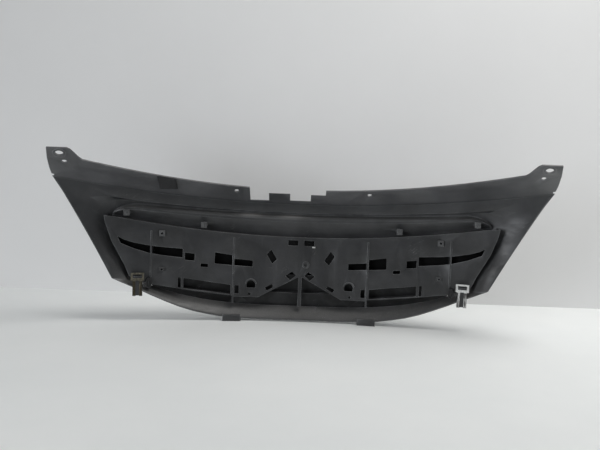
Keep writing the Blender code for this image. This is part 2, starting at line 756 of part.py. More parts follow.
def upper_trim(side, name):
    """Bright bar in front of the upper bar, with two studs through it."""
    sections = []
    for x in TRIM_STATIONS:
        low, high = insert_top(x) - 8, bar_top(x) + 3
        pinch = 8 * smooth((x - 335) / 40)
        sections.append([(x, TRIM_REAR + d, mix(low + pinch, high - pinch, s))
                         for s, d in TRIM_SECTION])
    bm = tube_along_x(sections)
    end = BOSS_REAR - GAP - NUT_THICKNESS - STUD_PROUD
    bm = fuse(bm, *[stud(x, z, end, TRIM_REAR + 1, STUD_RADIUS) for x, z in TRIM_STUDS])
    if side < 0:
        bmesh.ops.scale(bm, vec=(-1, 1, 1), verts=bm.verts)
        bmesh.ops.reverse_faces(bm, faces=bm.faces)
    return finish(bend(bm, divide=False), name, *BRIGHT_METAL)


def push_nut(side, spot, seat, thickness, height, name):
    """Square nut pushed onto a stud, its front face on the seat."""
    x, z = side * spot[0], spot[1]
    hole = true_ring(x, z, STUD_RADIUS + NUT_GRIP_CLEARANCE, 12)
    bm = prism(true_box(x, z, NUT_SIZE, height), seat - GAP - thickness, seat - GAP, [hole])
    return finish(bend(bm, divide=False), name, (0.07, 0.07, 0.072), 0.5)


# ---------------------------------------------------------------- spring clips, buffers, pad
def spring_clip(side, name, material):
    """Steel strap folded up round the tongue, with a windowed head behind it."""
    x = side * TONGUE_X
    wide, head_high = CLIP_HEAD
    head_centre = CLIP_HEAD_TOP - head_high / 2
    head_foot = head_centre - head_high / 2 / STRETCH_Z
    foot = TONGUE_SPAN[0] - GAP - CLIP_STEEL
    rear = TONGUE_REAR - GAP - CLIP_STEEL
    front = TONGUE_REAR + TONGUE_WALL + GAP
    leg_outer = TONGUE_WIDTH / 2
    leg_inner = leg_outer - CLIP_LEG_WIDTH
    head = prism(true_box(x, head_centre, wide, head_high), rear, rear + CLIP_STEEL,
                 [true_box(x, head_centre, *CLIP_WINDOW)])
    pieces = []
    for hand in (-1, 1):
        span = sorted((x + hand * leg_inner, x + hand * leg_outer))
        pieces.append(box(span, (rear, rear + CLIP_STEEL), (foot, head_foot + 1)))
        pieces.append(box(span, (rear, front + CLIP_STEEL), (foot, foot + CLIP_STEEL)))
        pieces.append(box(span, (front, front + CLIP_STEEL), (foot, CLIP_FRONT_TOP - 4)))
    pieces.append(box((x - leg_outer, x + leg_outer), (front, front + CLIP_STEEL),
                      (CLIP_FRONT_TOP - 5, CLIP_FRONT_TOP)))
    return finish(bend(fuse(head, *pieces), divide=False), name, *material)


def buffer(side, name):
    """Oval rubber stop on the insert's lower corner."""
    x, z = side * BUFFER_AT[0], BUFFER_AT[1]
    rear = INSERT_REAR - GAP
    bm = prism(true_ring(x, z, BUFFER_SIZE[0] / 2, 20, BUFFER_SIZE[1] / 2),
               rear - BUFFER_THICKNESS, rear)
    return finish(bend(bm, divide=False), name, *RUBBER)


def foam_pad():
    """Anti-rattle pad on the left of the flange."""
    x0, x1 = PAD_SPAN_X
    bm = bmesh.new()
    layers = []
    for lift in (PAD_GAP, PAD_GAP + PAD_THICKNESS):
        layer = []
        for x in (x0, -280, x1):
            for z in (PAD_FOOT_Z, free_edge(x) - PAD_EDGE):
                layer.append(bm.verts.new(at(x, flange_depth(x, z) - lift, z)))
        layers.append(layer)
    for low in (0, 2):
        for layer in layers:
            bm.faces.new([layer[low + i] for i in (0, 1, 3, 2)])
        for a, b in ((0, 2), (1, 3)):
            a, b = a + low, b + low
            bm.faces.new((layers[0][a], layers[0][b], layers[1][b], layers[1][a]))
    for a, b in ((0, 1), (4, 5)):
        bm.faces.new((layers[0][a], layers[0][b], layers[1][b], layers[1][a]))
    bmesh.ops.recalc_face_normals(bm, faces=bm.faces)
    return finish(bend(bm, divide=False), "foam_pad", *FOAM)


# ---------------------------------------------------------------- badge
def badge_leg(outline):
    """Leg through one opening of the insert, clear of its edges all round."""
    centre = Vector((sum(p[0] for p in outline), sum(p[1] for p in outline))) / len(outline)
    legs = []
    for point in outline:
        offset = Vector(point) - centre
        legs.append(tuple(centre + offset * (1 - LEG_CLEARANCE / offset.length)))
    return prism(legs, INSERT_REAR + LEG_END_INSIDE, BADGE_REAR + 1)


def ellipse(half_x, half_z, sides=40):
    x, z = BADGE_CENTRE
    return [(x + half_x * math.cos(math.tau * i / sides), z + half_z * math.sin(math.tau * i / sides))
            for i in range(sides)]


def badge_carrier():
    bm = prism(ellipse(*BADGE_HALF), BADGE_REAR, BADGE_REAR + BADGE_PLATE)
    legs = both_sides([INSERT_OPENINGS["upper_slot"], INSERT_OPENINGS["side_diamond"]])
    bm = fuse(bm, *[badge_leg(outline) for outline in legs])
    return finish(bend(bm), "badge_carrier", *DEEP_BLACK)


def badge_face():
    """Plain domed disc, left blank."""
    half_x, half_z = BADGE_HALF[0] - BADGE_RIM, BADGE_HALF[1] - BADGE_RIM
    base = BADGE_REAR + BADGE_PLATE + GAP
    bm = bmesh.new()
    rings = []
    for share, rise in ((1, 0), (1, 0.3), (0.9, 0.62), (0.7, 0.85), (0.4, 0.97)):
        rings.append([bm.verts.new(at(x, base + BADGE_DOME * rise, z))
                      for x, z in ellipse(half_x * share, half_z * share)])
    for a, b in zip(rings, rings[1:]):
        for i in range(len(a)):
            bm.faces.new((a[i - 1], a[i], b[i], b[i - 1]))
    bm.faces.new(rings[0])
    bm.faces.new(rings[-1])
    bmesh.ops.recalc_face_normals(bm, faces=bm.faces)
    return finish(bend(bm, divide=False), "badge_face", *BRIGHT_METAL)


def badge_lock_clip():
    """Small steel lock beside the badge's upper right leg."""
    rear = INSERT_REAR - GAP
    bm = box((23, 29), (rear - 1.2, rear), (153.5, 156.5))
    return finish(bend(bm, divide=False), "badge_lock_clip", *BRIGHT_METAL)


def build():
    for obj in list(bpy.data.objects):
        bpy.data.objects.remove(obj)
    surround_panel()
    upper_bar()
    grille_insert()
    lower_louvre()
    badge_carrier()
    badge_face()
    badge_lock_clip()
    foam_pad()
    for side, hand in ((-1, "left"), (1, "right")):
        upper_louvre(side, f"upper_louvre_{hand}")
        upper_trim(side, f"upper_trim_{hand}")
        push_nut(side, TRIM_STUDS[0], BOSS_REAR, NUT_THICKNESS, NUT_SIZE, f"outer_nut_{hand}")
        push_nut(side, TRIM_STUDS[1], BOSS_REAR, NUT_THICKNESS, NUT_SIZE, f"inner_nut_{hand}")
        push_nut(side, LOUVRE_STUD_UPPER, INSERT_REAR, NUT_THICKNESS, NUT_SIZE,
                 f"louvre_nut_{hand}")
        push_nut(side, LOUVRE_STUD_LOWER, INSERT_REAR, FLAT_NUT_THICKNESS, NUT_SIZE * 0.7,
                 f"flat_nut_{hand}")
        clip_steel = YELLOW_ZINC if side < 0 else BRIGHT_METAL
        spring_clip(side, f"spring_clip_{hand}", clip_steel)
        buffer(side, f"buffer_{hand}")


build()
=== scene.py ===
# %% [markdown]
# # A car's front grille, seen from behind
# The grille is a wide black moulding that fits between the headlamps. This lesson
# dresses the imported CAD model: the panels and the bright trim keep their CAD shape
# with softened edges, and the small fastenings and the badge are modelled again in
# detail. The frame is loaded first.

# %% Load the CAD frame
import math

import bpy
from mathutils import Matrix, Vector


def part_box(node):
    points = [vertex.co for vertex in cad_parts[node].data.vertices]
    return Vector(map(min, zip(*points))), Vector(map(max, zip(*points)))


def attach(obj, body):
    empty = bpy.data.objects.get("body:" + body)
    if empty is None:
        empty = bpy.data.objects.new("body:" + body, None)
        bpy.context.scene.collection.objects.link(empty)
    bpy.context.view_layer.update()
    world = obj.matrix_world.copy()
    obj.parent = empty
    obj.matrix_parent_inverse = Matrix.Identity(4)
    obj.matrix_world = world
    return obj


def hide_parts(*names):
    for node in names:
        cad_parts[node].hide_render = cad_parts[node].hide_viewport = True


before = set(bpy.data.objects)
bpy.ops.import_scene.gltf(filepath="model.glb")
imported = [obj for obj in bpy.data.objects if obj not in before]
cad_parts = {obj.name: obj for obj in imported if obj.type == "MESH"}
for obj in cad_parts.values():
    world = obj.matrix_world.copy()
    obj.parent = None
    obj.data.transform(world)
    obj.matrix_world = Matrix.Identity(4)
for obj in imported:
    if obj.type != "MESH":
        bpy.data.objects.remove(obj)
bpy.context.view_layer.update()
MM = 0.001

# %% [markdown]
# The whole grille is swept back at its ends, like the nose of the car. Small pieces
# are easiest to model as if it were straight, and then swept back with the same curve
# as the CAD model. Heights are easiest to read from the two feet, so a helper turns
# millimetres across, forwards and above the feet into metres in the frame.

# %% The drawing's frame and the sweep of the ends
FOLD_HEIGHT = 240.0
HALF_WIDTH = 0.483
END_SWEEP = 0.1027


def place(across, forwards, above_feet):
    """Metres in the frame from millimetres in the drawing."""
    return Vector((across * MM, forwards * MM, (above_feet - FOLD_HEIGHT) * MM))


def sweep(x):
    return -END_SWEEP * (x / HALF_WIDTH) ** 2


print("the ends lie", round(-sweep(HALF_WIDTH), 4), "m behind the middle")

# %% [markdown]
# An operator acts on whatever is selected, so every piece starts with an empty
# selection. Edit mode then works on faces or edges chosen by a rule, such as "faces
# that look to the rear". At the end of a piece its modifiers are applied, its place is
# moved into its mesh, its faces are turned outwards and its size is printed.

# %% Helpers for modelling by hand
def clear_selection():
    if bpy.context.object and bpy.context.object.mode != "OBJECT":
        bpy.ops.object.mode_set(mode="OBJECT")
    bpy.ops.object.select_all(action="DESELECT")


def only(piece):
    clear_selection()
    piece.select_set(True)
    bpy.context.view_layer.objects.active = piece


def started(name):
    """The primitive that was just added, named and with its place in its mesh."""
    piece = bpy.context.object
    piece.name = name
    piece.data.name = name
    only(piece)
    bpy.ops.object.transform_apply(location=True, rotation=True, scale=True)
    return piece


def pick(piece, kind, rule):
    """Enter edit mode with just the faces, edges or vertices that obey the rule."""
    only(piece)
    bpy.ops.object.mode_set(mode="EDIT")
    bpy.ops.mesh.select_mode(type=kind)
    bpy.ops.mesh.select_all(action="DESELECT")
    bpy.ops.object.mode_set(mode="OBJECT")
    mesh = piece.data
    points = [v.co for v in mesh.vertices]
    count = 0
    if kind == "FACE":
        for face in mesh.polygons:
            face.select = bool(rule(face.center, face.normal))
            count += face.select
    if kind == "EDGE":
        for edge in mesh.edges:
            edge.select = bool(rule(points[edge.vertices[0]], points[edge.vertices[1]]))
            count += edge.select
    if kind == "VERT":
        for vertex in mesh.vertices:
            vertex.select = bool(rule(vertex.co))
            count += vertex.select
    bpy.ops.object.mode_set(mode="EDIT")
    return count


def push(vector):
    bpy.ops.transform.translate(value=tuple(vector))


def extrude(vector):
    bpy.ops.mesh.extrude_region_move(TRANSFORM_OT_translate={"value": tuple(vector)})


def apply_all(piece):
    only(piece)
    for modifier in list(piece.modifiers):
        bpy.ops.object.modifier_apply(modifier=modifier.name)


def soften(piece, width, segments=2, angle=35):
    """Round every sharp edge a little, as a mould does."""
    bevel = piece.modifiers.new("soft_edges", "BEVEL")
    bevel.width = width
    bevel.segments = segments
    bevel.limit_method = "ANGLE"
    bevel.angle_limit = math.radians(angle)
    bevel.use_clamp_overlap = True
    apply_all(piece)


def carve(piece, cutter, operation="DIFFERENCE"):
    """Cut a helper out of a piece, or join it on, and throw the helper away."""
    boolean = piece.modifiers.new("carve", "BOOLEAN")
    boolean.operation = operation
    boolean.solver = "EXACT"
    boolean.object = cutter
    apply_all(piece)
    bpy.data.objects.remove(cutter)


def face_outwards(piece):
    only(piece)
    bpy.ops.object.mode_set(mode="EDIT")
    bpy.ops.mesh.select_all(action="SELECT")
    bpy.ops.mesh.remove_doubles(threshold=0.000002)
    bpy.ops.mesh.normals_make_consistent(inside=False)
    bpy.ops.object.mode_set(mode="OBJECT")


def swept(piece):
    """Move every point back by the sweep of the grille at its place."""
    for vertex in piece.data.vertices:
        vertex.co.y += sweep(vertex.co.x)
    return piece


def twin(piece, name, shift=(0, 0, 0), mirror=False):
    """A copy with its own mesh, moved or mirrored to the other side of the car."""
    copy = piece.copy()
    copy.data = piece.data.copy()
    copy.name = name
    copy.data.name = name
    bpy.context.scene.collection.objects.link(copy)
    copy.data.transform(Matrix.Translation(Vector(shift)))
    if mirror:
        copy.data.transform(Matrix.Scale(-1, 4, (1, 0, 0)))
        face_outwards(copy)
    return copy


def done(piece, body, material, nodes=(), angle=35):
    """Shade a finished piece, give it its material and let it ride on its body."""
    only(piece)
    bpy.ops.object.shade_smooth_by_angle(angle=math.radians(angle))
    piece.data.materials.clear()
    piece.data.materials.append(material)
    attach(piece, body)
    if nodes:
        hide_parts(*nodes)
    size = [round(side / MM, 1) for side in piece.dimensions]
    print(piece.name, size, "mm,", len(piece.data.polygons), "faces")
    return piece


# %% [markdown]
# The finishes share a few effects: the fine grain of the mould, dust, smudges from
# handling, and pale edges that are partly worn and partly painted edge highlight. Each
# effect is a shader group that is built once, with its settings as inputs, and placed
# in every material that needs it. A small helper opens a group with its sockets, and
# another adds a node with its settings.

# %% Helpers for shader groups
def add(tree, kind, **settings):
    node = tree.nodes.new(kind)
    for name, value in settings.items():
        setattr(node, name, value)
    return node


def new_group(name, inputs, outputs):
    """A shader group; sockets are (name, type, default) and (name, type)."""
    tree = bpy.data.node_groups.new(name, "ShaderNodeTree")
    for socket_name, kind, default in inputs:
        socket = tree.interface.new_socket(socket_name, in_out="INPUT", socket_type=kind)
        socket.default_value = default
    for socket_name, kind in outputs:
        tree.interface.new_socket(socket_name, in_out="OUTPUT", socket_type=kind)
    start = tree.nodes.new("NodeGroupInput")
    end = tree.nodes.new("NodeGroupOutput")
    return tree, start.outputs, end.inputs


def math_node(tree, operation, a, b=None, c=None, clamp=False):
    node = add(tree, "ShaderNodeMath", operation=operation, use_clamp=clamp)
    for socket, value in zip(node.inputs, (a, b, c)):
        if isinstance(value, bpy.types.NodeSocket):
            tree.links.new(value, socket)
        elif value is not None:
            socket.default_value = value
    return node.outputs[0]


def remap(tree, value, low, high, new_low=0.0, new_high=1.0):
    node = add(tree, "ShaderNodeMapRange", clamp=True)
    tree.links.new(value, node.inputs["Value"])
    node.inputs["From Min"].default_value = low
    node.inputs["From Max"].default_value = high
    node.inputs["To Min"].default_value = new_low
    node.inputs["To Max"].default_value = new_high
    return node.outputs["Result"]


def noise(tree, vector, scale, detail=4.0, roughness=0.55, stretch=None):
    if stretch:
        mapping = add(tree, "ShaderNodeMapping")
        mapping.inputs["Scale"].default_value = stretch
        tree.links.new(vector, mapping.inputs["Vector"])
        vector = mapping.outputs["Vector"]
    node = add(tree, "ShaderNodeTexNoise")
    tree.links.new(vector, node.inputs["Vector"])
    if isinstance(scale, bpy.types.NodeSocket):
        tree.links.new(scale, node.inputs["Scale"])
    else:
        node.inputs["Scale"].default_value = scale
    node.inputs["Detail"].default_value = detail
    node.inputs["Roughness"].default_value = roughness
    return node.outputs["Fac"]


# %% [markdown]
# Mould grain: black bumper plastic has a pebbled skin with cells of about a
# millimetre. Two cell patterns of different size, one soft and one fine, give a
# height. The group puts out only that height, and each material's own bump reads it.

# %% Mould grain group
GRAIN, ins, outs = new_group("mould_grain", [("Cells", "NodeSocketFloat", 900.0)],
                             [("Height", "NodeSocketFloat")])
coordinates = add(GRAIN, "ShaderNodeTexCoord")
cells = add(GRAIN, "ShaderNodeTexVoronoi", feature="SMOOTH_F1")
GRAIN.links.new(coordinates.outputs["Object"], cells.inputs["Vector"])
GRAIN.links.new(ins["Cells"], cells.inputs["Scale"])
fine = noise(GRAIN, coordinates.outputs["Object"], math_node(GRAIN, "MULTIPLY", ins["Cells"], 2.3))
height = math_node(GRAIN, "ADD", cells.outputs["Distance"], math_node(GRAIN, "MULTIPLY", fine, 0.5))
GRAIN.links.new(height, outs["Height"])
print("group", GRAIN.name, "nodes", len(GRAIN.nodes))

# %% [markdown]
# Rubbed edges and painted edge highlights: handling and trim removal leave pale lines
# on sharp edges, and the same pale lines stand in for the highlight that light puts
# along edges. The Bevel node gives a normal that is rounded near an edge. Where it
# differs from the true normal there is an edge, and noise breaks the line up so that
# it isn't even.

# %% Rubbed edge and painted highlight group
EDGE_WEAR_AND_HIGHLIGHT, ins, outs = new_group("rubbed_and_highlit_edges",
                            [("Amount", "NodeSocketFloat", 0.5), ("Patchiness", "NodeSocketFloat", 30.0)],
                            [("Mask", "NodeSocketFloat")])
rounded = add(EDGE_WEAR_AND_HIGHLIGHT, "ShaderNodeBevel", samples=6)
rounded.inputs["Radius"].default_value = 0.0011
surface = add(EDGE_WEAR_AND_HIGHLIGHT, "ShaderNodeNewGeometry")
compare = add(EDGE_WEAR_AND_HIGHLIGHT, "ShaderNodeVectorMath", operation="DOT_PRODUCT")
EDGE_WEAR_AND_HIGHLIGHT.links.new(rounded.outputs["Normal"], compare.inputs[0])
EDGE_WEAR_AND_HIGHLIGHT.links.new(surface.outputs["True Normal"], compare.inputs[1])
edge = remap(EDGE_WEAR_AND_HIGHLIGHT, math_node(EDGE_WEAR_AND_HIGHLIGHT, "SUBTRACT", 1.0, compare.outputs["Value"]), 0.01, 0.16)
coordinates = add(EDGE_WEAR_AND_HIGHLIGHT, "ShaderNodeTexCoord")
patches = remap(EDGE_WEAR_AND_HIGHLIGHT, noise(EDGE_WEAR_AND_HIGHLIGHT, coordinates.outputs["Object"], ins["Patchiness"], 6), 0.38, 0.62)
broken = math_node(EDGE_WEAR_AND_HIGHLIGHT, "MULTIPLY", edge, math_node(EDGE_WEAR_AND_HIGHLIGHT, "MULTIPLY_ADD", patches, 0.75, 0.25))
EDGE_WEAR_AND_HIGHLIGHT.links.new(math_node(EDGE_WEAR_AND_HIGHLIGHT, "MULTIPLY", broken, ins["Amount"], clamp=True), outs["Mask"])
print("group", EDGE_WEAR_AND_HIGHLIGHT.name, "nodes", len(EDGE_WEAR_AND_HIGHLIGHT.nodes))

# %% [markdown]
# Dust settles on faces that look upwards and stays as thin clouds elsewhere. The
# world's up direction is right for a part lying still, and the mask mixes that with
# two sizes of noise. Smudges are larger and darker or paler, and change the gloss.
# Scratches are the thin line where a stretched noise crosses its middle value, kept
# only where a second noise is high, so that there are few of them.

# %% Dust and smudge groups
DUST, ins, outs = new_group("settled_dust",
                            [("On top", "NodeSocketFloat", 0.6), ("All over", "NodeSocketFloat", 0.2)],
                            [("Mask", "NodeSocketFloat")])
surface = add(DUST, "ShaderNodeNewGeometry")
split = add(DUST, "ShaderNodeSeparateXYZ")
DUST.links.new(surface.outputs["Normal"], split.inputs[0])
coordinates = add(DUST, "ShaderNodeTexCoord")
cloud = remap(DUST, noise(DUST, coordinates.outputs["Object"], 14, 8, 0.62), 0.36, 0.72)
speck = remap(DUST, noise(DUST, coordinates.outputs["Object"], 420, 3, 0.7), 0.45, 0.75)
top = math_node(DUST, "MULTIPLY", remap(DUST, split.outputs["Z"], 0.15, 0.95), ins["On top"])
film = math_node(DUST, "MULTIPLY", cloud, ins["All over"])
uneven = math_node(DUST, "ADD", math_node(DUST, "MULTIPLY", speck, 0.5), 0.5)
total = math_node(DUST, "MULTIPLY", math_node(DUST, "ADD", top, film), uneven, clamp=True)
DUST.links.new(total, outs["Mask"])

SMUDGE, ins, outs = new_group("handling_smudges", [("Size", "NodeSocketFloat", 7.0)],
                              [("Mask", "NodeSocketFloat"), ("Streaks", "NodeSocketFloat"),
                               ("Scratches", "NodeSocketFloat")])
coordinates = add(SMUDGE, "ShaderNodeTexCoord")
large = noise(SMUDGE, coordinates.outputs["Object"], ins["Size"], 5, 0.6)
SMUDGE.links.new(remap(SMUDGE, large, 0.32, 0.68), outs["Mask"])
streak = noise(SMUDGE, coordinates.outputs["Object"], 60, 5, 0.6, stretch=(0.35, 1, 2.4))
SMUDGE.links.new(remap(SMUDGE, streak, 0.4, 0.75), outs["Streaks"])
slant = add(SMUDGE, "ShaderNodeMapping")
slant.inputs["Rotation"].default_value = (0, math.radians(35), 0)
SMUDGE.links.new(coordinates.outputs["Object"], slant.inputs["Vector"])
scored = noise(SMUDGE, slant.outputs["Vector"], 26, 2, 0.5, stretch=(0.6, 1, 9))
away = math_node(SMUDGE, "ABSOLUTE", math_node(SMUDGE, "SUBTRACT", scored, 0.5))
thin = remap(SMUDGE, away, 0.0, 0.006, 1.0, 0.0)
rare = remap(SMUDGE, noise(SMUDGE, slant.outputs["Vector"], 17, 2), 0.62, 0.68)
SMUDGE.links.new(math_node(SMUDGE, "MULTIPLY", thin, rare), outs["Scratches"])
print("groups", DUST.name, "and", SMUDGE.name)

# %% [markdown]
# Moulded plastic: every black panel is the same kind of plastic in a slightly
# different shade. One function builds the material, so the shade, dust and gloss of
# each panel are plain numbers: base colour, then smudges, dust and worn pale edges,
# which also carry painted edge highlights, over it, roughness from the smudges, and a
# bump from the grain. The flange, above the fold, is painted paler than the face, as
# painted light where it faces up. The louvre and blade plastics are made nearly black,
# as painted shade in the cavities behind the slots.

# %% Moulded plastic finishes
def blend_colours(tree, share, below, above):
    mix = add(tree, "ShaderNodeMix", data_type="RGBA")
    tree.links.new(share, mix.inputs["Factor"])
    for name, value in (("A", below), ("B", above)):
        socket = next(s for s in mix.inputs if s.name == name and s.type == "RGBA")
        if isinstance(value, bpy.types.NodeSocket):
            tree.links.new(value, socket)
        else:
            socket.default_value = (*value, 1)
    return next(s for s in mix.outputs if s.type == "RGBA")


def use_group(tree, group, **values):
    node = add(tree, "ShaderNodeGroup", node_tree=group)
    for name, value in values.items():
        node.inputs[name.replace("_", " ")].default_value = value
    return node.outputs


def new_finish(name):
    material = bpy.data.materials.new(name)
    material.use_nodes = True
    tree = material.node_tree
    return material, tree, tree.nodes["Principled BSDF"]


def grain_bump(tree, shader, height, strength, depth):
    bump = add(tree, "ShaderNodeBump")
    bump.inputs["Strength"].default_value = strength
    bump.inputs["Distance"].default_value = depth
    tree.links.new(height, bump.inputs["Height"])
    tree.links.new(bump.outputs["Normal"], shader.inputs["Normal"])


def above_the_fold(tree):
    """Mask of the flange, which starts at a fold line that rises towards the ends."""
    split = add(tree, "ShaderNodeSeparateXYZ")
    tree.links.new(add(tree, "ShaderNodeTexCoord").outputs["Object"], split.inputs[0])
    across = math_node(tree, "DIVIDE", split.outputs["X"], HALF_WIDTH)
    fold = math_node(tree, "MULTIPLY", math_node(tree, "MULTIPLY", across, across), FOLD_RISE)
    return remap(tree, math_node(tree, "SUBTRACT", split.outputs["Z"], fold), 0.0, 0.004)


def moulded_plastic(name, dark, pale, dust_top, dust_film, wear_and_highlight, gloss, cells=900.0, shine=0.5,
                    flange=None):
    material, tree, shader = new_finish(name)
    smudge = use_group(tree, SMUDGE, Size=11.0)
    dust = use_group(tree, DUST, On_top=dust_top, All_over=dust_film)
    worn_and_highlit_edges = use_group(tree, EDGE_WEAR_AND_HIGHLIGHT, Amount=wear_and_highlight, Patchiness=34.0)
    colour = blend_colours(tree, smudge["Mask"], dark, pale)
    # painted light: the flange above the fold is coloured paler, standing in for the light on its upward
    # face
    if flange:
        flange_painted_light = blend_colours(tree, smudge["Mask"], *flange)
        colour = blend_colours(tree, above_the_fold(tree), colour, flange_painted_light)
    colour = blend_colours(tree, dust["Mask"], colour, (0.20, 0.195, 0.185))
    # pale edges: partly worn plastic, partly painted edge highlight
    colour = blend_colours(tree, worn_and_highlit_edges["Mask"], colour, (0.36, 0.37, 0.38))
    scored = math_node(tree, "MULTIPLY", smudge["Scratches"], 0.45)
    colour = blend_colours(tree, scored, colour, (0.30, 0.30, 0.30))
    tree.links.new(colour, shader.inputs["Base Color"])
    rough = remap(tree, smudge["Streaks"], 0, 1, gloss, gloss + 0.16)
    dusty = math_node(tree, "MULTIPLY", dust["Mask"], 0.35)
    tree.links.new(math_node(tree, "ADD", rough, dusty, clamp=True), shader.inputs["Roughness"])
    grain = use_group(tree, GRAIN, Cells=cells)
    grain_bump(tree, shader, grain["Height"], 0.35, 0.00012)
    shader.inputs["Specular IOR Level"].default_value = shine
    return material


FOLD_RISE = 0.046
PANEL_PLASTIC = moulded_plastic("panel_plastic", (0.013, 0.0135, 0.015), (0.034, 0.035, 0.038),
                                0.35, 0.13, 0.55, 0.33,
                                flange=((0.038, 0.039, 0.042), (0.078, 0.079, 0.084)))
INSERT_PLASTIC = moulded_plastic("insert_plastic", (0.0085, 0.009, 0.010), (0.026, 0.027, 0.030),
                                 0.40, 0.12, 0.60, 0.40)
BAR_PLASTIC = moulded_plastic("bar_plastic", (0.020, 0.0205, 0.022), (0.044, 0.045, 0.048),
                              0.40, 0.16, 0.70, 0.36)
# painted shade: the louvre and blade plastics are made nearly black to stand in for the shade of the
# cavities behind the slots
SHADED_LOUVRE_PLASTIC = moulded_plastic("shaded_louvre_plastic", (0.0015, 0.0015, 0.0017), (0.003, 0.003, 0.0032),
                                 0.10, 0.01, 0.10, 0.60, shine=0.1)
SHADED_BLADE_PLASTIC = moulded_plastic("shaded_blade_plastic", (0.004, 0.004, 0.0044), (0.009, 0.009, 0.0096),
                                0.15, 0.05, 0.5, 0.50, shine=0.25)
NUT_NYLON = moulded_plastic("nut_nylon", (0.045, 0.046, 0.048), (0.11, 0.112, 0.115),
                            0.30, 0.25, 0.30, 0.38, 1800.0)
LOW_NUT_NYLON = moulded_plastic("low_nut_nylon", (0.010, 0.010, 0.011), (0.026, 0.026, 0.028),
                                0.30, 0.20, 0.55, 0.34, 1800.0)
print("plastics:", [m.name for m in bpy.data.materials if "plastic" in m.name])

# %% [markdown]
# Metal and plating: the clips are spring steel with a zinc coat, one yellowed and one
# bright, and the trim is plated plastic. Zinc has crystal patches that change its
# tint and gloss, fine drawing lines and dark spots where it has dulled. The legs,
# below the head, are darkened by painted shade and grime, broken by a few brighter
# strips that are painted glints. Plating is smoother, with only a thin haze and a
# faint ripple from the mould.

# %% Metal finishes
CLIP_HEAD_FOOT = -0.157


def zinc_coat(name, bright, dull, leg_shade_and_grime, roughness):
    material, tree, shader = new_finish(name)
    coordinates = add(tree, "ShaderNodeTexCoord").outputs["Object"]
    patches = remap(tree, noise(tree, coordinates, 260, 5), 0.35, 0.68)
    lines = noise(tree, coordinates, 900, 2, 0.5, stretch=(1, 1, 0.06))
    spots = remap(tree, noise(tree, coordinates, 700, 4, 0.7), 0.6, 0.72)
    colour = blend_colours(tree, patches, bright, dull)
    colour = blend_colours(tree, spots, colour, (0.10, 0.09, 0.07))
    split = add(tree, "ShaderNodeSeparateXYZ")
    tree.links.new(coordinates, split.inputs[0])
    # painted shade and grime on the legs below the clip head, lifted in a few strips that are painted
    # glints
    legs = remap(tree, split.outputs["Z"], CLIP_HEAD_FOOT - 0.002, CLIP_HEAD_FOOT, 0.9, 0.0)
    glint_strips = remap(tree, noise(tree, coordinates, 190, 3, stretch=(1, 1, 0.12)), 0.52, 0.6, 1.0, 0.15)
    colour = blend_colours(tree, math_node(tree, "MULTIPLY", legs, glint_strips), colour, leg_shade_and_grime)
    tree.links.new(colour, shader.inputs["Base Color"])
    rough = remap(tree, patches, 0, 1, roughness, roughness + 0.18)
    tree.links.new(math_node(tree, "MULTIPLY_ADD", lines, 0.08, rough), shader.inputs["Roughness"])
    shader.inputs["Metallic"].default_value = 1.0
    grain_bump(tree, shader, lines, 0.25, 0.00005)
    return material


def plating(name):
    material, tree, shader = new_finish(name)
    coordinates = add(tree, "ShaderNodeTexCoord").outputs["Object"]
    haze = remap(tree, noise(tree, coordinates, 18, 6, 0.6), 0.4, 0.7)
    ripple = noise(tree, coordinates, 70, 2, 0.4)
    dust = use_group(tree, DUST, On_top=0.18, All_over=0.10)
    colour = blend_colours(tree, haze, (0.70, 0.71, 0.72), (0.60, 0.61, 0.63))
    colour = blend_colours(tree, dust["Mask"], colour, (0.40, 0.39, 0.38))
    tree.links.new(colour, shader.inputs["Base Color"])
    tree.links.new(remap(tree, haze, 0, 1, 0.08, 0.2), shader.inputs["Roughness"])
    shader.inputs["Metallic"].default_value = 1.0
    grain_bump(tree, shader, ripple, 0.08, 0.0003)
    return material


YELLOW_ZINC = zinc_coat("yellow_zinc", (0.19, 0.175, 0.14), (0.09, 0.083, 0.066),
                        (0.055, 0.048, 0.034), 0.34)
BRIGHT_ZINC = zinc_coat("bright_zinc", (0.74, 0.74, 0.73), (0.52, 0.52, 0.52),
                        (0.045, 0.043, 0.040), 0.22)
TRIM_PLATING = plating("trim_plating")
print("metals:", YELLOW_ZINC.name, BRIGHT_ZINC.name, TRIM_PLATING.name)

# %% [markdown]
# Rubber and foam: the stops are matt rubber with a fine bloom and a few pale scuffs
# on their edges, partly worn rubber and partly painted edge highlight, and the
# anti-rattle pad is closed-cell foam, which is all small round pits. The pits
# come from a cell pattern that feeds both the colour and a deep bump.

# %% Rubber and foam finishes
def stop_rubber():
    material, tree, shader = new_finish("stop_rubber")
    coordinates = add(tree, "ShaderNodeTexCoord").outputs["Object"]
    bloom = remap(tree, noise(tree, coordinates, 160, 6, 0.65), 0.4, 0.75)
    worn_and_highlit_edges = use_group(tree, EDGE_WEAR_AND_HIGHLIGHT, Amount=0.35, Patchiness=90.0)
    colour = blend_colours(tree, bloom, (0.008, 0.008, 0.009), (0.022, 0.022, 0.022))
    # pale edges: partly worn rubber, partly painted edge highlight
    colour = blend_colours(tree, worn_and_highlit_edges["Mask"], colour, (0.10, 0.10, 0.10))
    tree.links.new(colour, shader.inputs["Base Color"])
    tree.links.new(remap(tree, bloom, 0, 1, 0.62, 0.85), shader.inputs["Roughness"])
    grain_bump(tree, shader, bloom, 0.3, 0.0001)
    return material


